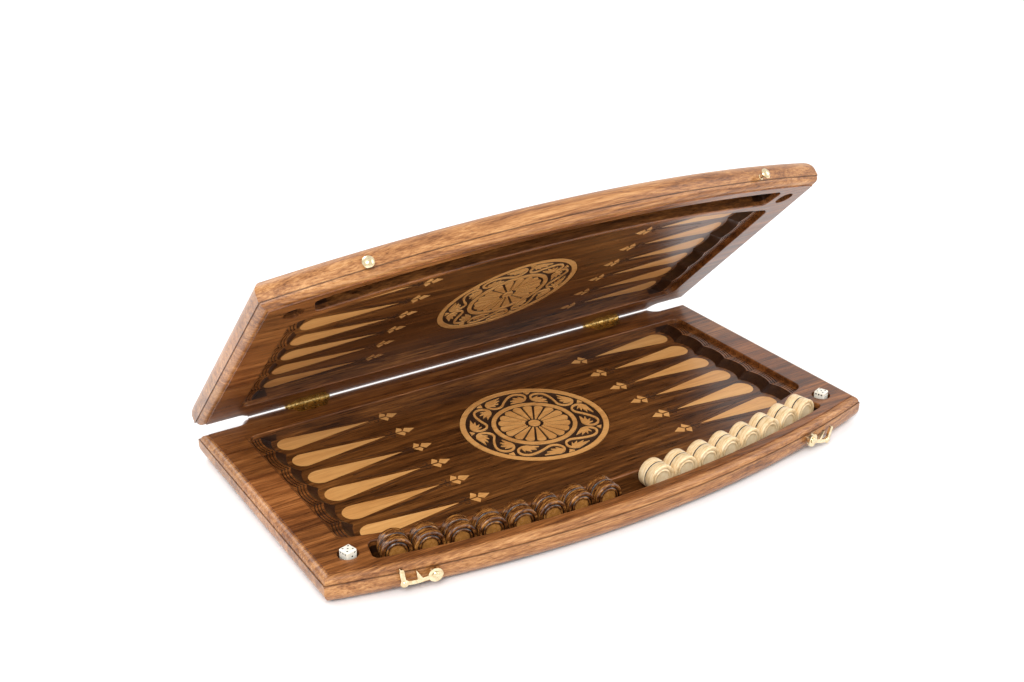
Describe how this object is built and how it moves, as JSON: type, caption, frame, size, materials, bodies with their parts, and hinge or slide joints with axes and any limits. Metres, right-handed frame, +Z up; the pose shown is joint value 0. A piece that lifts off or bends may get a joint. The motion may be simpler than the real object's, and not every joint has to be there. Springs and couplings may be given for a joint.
{
  "type": "backgammon set",
  "caption": "Folding wooden backgammon board with a bowed front, inlaid points and medallions, checkers in a curved groove, dice, hinges and swing hooks.",
  "frame": {"origin": "centre of the base leaf's flat underside, on the surface it stands on", "axes": "+X to the right along the hinge line, -Y towards the bowed front and the player, +Z up"},
  "size_m": [0.6, 0.3468, 0.2767],
  "materials": {
    "walnut": "satin oiled walnut with straight grain",
    "light_inlay": "satin light maple inlay",
    "dark_inlay": "dark stained wood ground",
    "antique_brass": "aged, satin",
    "bright_brass": "polished pale brass",
    "dark_checker": "polished dark wood, turned",
    "light_checker": "polished light wood, turned",
    "ivory": "gloss ivory colour with black pips"
  },
  "bodies": {
    "base": {"base_back_stave": "walnut", "base_middle_stave": "walnut", "base_front_stave": "walnut", "base_left_points": "light_inlay", "base_right_points": "light_inlay", "base_left_trefoils": "light_inlay", "base_right_trefoils": "light_inlay", "base_medallion_ground": "dark_inlay", "base_medallion_rim": "light_inlay", "base_medallion_ring": "light_inlay", "base_medallion_scrolls": "light_inlay", "base_medallion_petals": "light_inlay", "base_medallion_hub": "light_inlay", "left_hinge_base_plate": "antique_brass", "left_hinge_pin": "antique_brass", "left_hinge_base_screws": "antique_brass", "left_hook_screw": "bright_brass", "right_hinge_base_plate": "antique_brass", "right_hinge_pin": "antique_brass", "right_hinge_base_screws": "antique_brass", "right_hook_screw": "bright_brass"},
    "lid": {"lid_back_stave": "walnut", "lid_middle_stave": "walnut", "lid_front_stave": "walnut", "lid_left_points": "light_inlay", "lid_right_points": "light_inlay", "lid_left_trefoils": "light_inlay", "lid_right_trefoils": "light_inlay", "lid_medallion_ground": "dark_inlay", "lid_medallion_rim": "light_inlay", "lid_medallion_ring": "light_inlay", "lid_medallion_scrolls": "light_inlay", "lid_medallion_petals": "light_inlay", "lid_medallion_hub": "light_inlay", "left_hinge_lid_plate": "antique_brass", "left_hinge_lid_screws": "antique_brass", "left_knob": "bright_brass", "right_hinge_lid_plate": "antique_brass", "right_hinge_lid_screws": "antique_brass", "right_knob": "bright_brass"},
    "left_hook": {"left_hook": "bright_brass"},
    "right_hook": {"right_hook": "bright_brass"},
    "dark_checkers_1": {"dark_checkers_1": "dark_checker"},
    "dark_checkers_2": {"dark_checkers_2": "dark_checker"},
    "dark_checkers_3": {"dark_checkers_3": "dark_checker"},
    "dark_checkers_4": {"dark_checkers_4": "dark_checker"},
    "dark_checkers_5": {"dark_checkers_5": "dark_checker"},
    "dark_checkers_6": {"dark_checkers_6": "dark_checker"},
    "dark_checkers_7": {"dark_checkers_7": "dark_checker"},
    "dark_checkers_8": {"dark_checkers_8": "dark_checker"},
    "light_checkers_1": {"light_checkers_1": "light_checker"},
    "light_checkers_2": {"light_checkers_2": "light_checker"},
    "light_checkers_3": {"light_checkers_3": "light_checker"},
    "light_checkers_4": {"light_checkers_4": "light_checker"},
    "light_checkers_5": {"light_checkers_5": "light_checker"},
    "light_checkers_6": {"light_checkers_6": "light_checker"},
    "light_checkers_7": {"light_checkers_7": "light_checker"},
    "light_checkers_8": {"light_checkers_8": "light_checker"},
    "left_die": {"left_die": "ivory"},
    "right_die": {"right_die": "ivory"}
  },
  "joints": [
    {"name": "lid_hinge", "type": "hinge", "parent": "base", "child": "lid", "pos_m": [0, 0.167, 0.02825], "axis": [-1, 0, 0], "range_deg": [-44.5, 135.5]},
    {"name": "left_hook_pivot", "type": "hinge", "parent": "base", "child": "left_hook", "pos_m": [-0.2108, -0.15072, 0.015], "axis": [0.1907, 0.9817, 0], "range_deg": [-19, 83]},
    {"name": "right_hook_pivot", "type": "hinge", "parent": "base", "child": "right_hook", "pos_m": [0.2108, -0.15072, 0.015], "axis": [0.1907, -0.9817, 0], "range_deg": [-4, 98]},
    {"name": "dark_checkers_1_lift", "type": "slide", "parent": "base", "child": "dark_checkers_1", "axis": [0, 0, 1], "range_m": [0, 0.06]},
    {"name": "dark_checkers_2_lift", "type": "slide", "parent": "base", "child": "dark_checkers_2", "axis": [0, 0, 1], "range_m": [0, 0.06]},
    {"name": "dark_checkers_3_lift", "type": "slide", "parent": "base", "child": "dark_checkers_3", "axis": [0, 0, 1], "range_m": [0, 0.06]},
    {"name": "dark_checkers_4_lift", "type": "slide", "parent": "base", "child": "dark_checkers_4", "axis": [0, 0, 1], "range_m": [0, 0.06]},
    {"name": "dark_checkers_5_lift", "type": "slide", "parent": "base", "child": "dark_checkers_5", "axis": [0, 0, 1], "range_m": [0, 0.06]},
    {"name": "dark_checkers_6_lift", "type": "slide", "parent": "base", "child": "dark_checkers_6", "axis": [0, 0, 1], "range_m": [0, 0.06]},
    {"name": "dark_checkers_7_lift", "type": "slide", "parent": "base", "child": "dark_checkers_7", "axis": [0, 0, 1], "range_m": [0, 0.06]},
    {"name": "dark_checkers_8_lift", "type": "slide", "parent": "base", "child": "dark_checkers_8", "axis": [0, 0, 1], "range_m": [0, 0.06]},
    {"name": "light_checkers_1_lift", "type": "slide", "parent": "base", "child": "light_checkers_1", "axis": [0, 0, 1], "range_m": [0, 0.06]},
    {"name": "light_checkers_2_lift", "type": "slide", "parent": "base", "child": "light_checkers_2", "axis": [0, 0, 1], "range_m": [0, 0.06]},
    {"name": "light_checkers_3_lift", "type": "slide", "parent": "base", "child": "light_checkers_3", "axis": [0, 0, 1], "range_m": [0, 0.06]},
    {"name": "light_checkers_4_lift", "type": "slide", "parent": "base", "child": "light_checkers_4", "axis": [0, 0, 1], "range_m": [0, 0.06]},
    {"name": "light_checkers_5_lift", "type": "slide", "parent": "base", "child": "light_checkers_5", "axis": [0, 0, 1], "range_m": [0, 0.06]},
    {"name": "light_checkers_6_lift", "type": "slide", "parent": "base", "child": "light_checkers_6", "axis": [0, 0, 1], "range_m": [0, 0.06]},
    {"name": "light_checkers_7_lift", "type": "slide", "parent": "base", "child": "light_checkers_7", "axis": [0, 0, 1], "range_m": [0, 0.06]},
    {"name": "light_checkers_8_lift", "type": "slide", "parent": "base", "child": "light_checkers_8", "axis": [0, 0, 1], "range_m": [0, 0.06]},
    {"name": "left_die_lift", "type": "slide", "parent": "base", "child": "left_die", "axis": [0, 0, 1], "range_m": [0, 0.06]},
    {"name": "right_die_lift", "type": "slide", "parent": "base", "child": "right_die", "axis": [0, 0, 1], "range_m": [0, 0.06]}
  ]
}
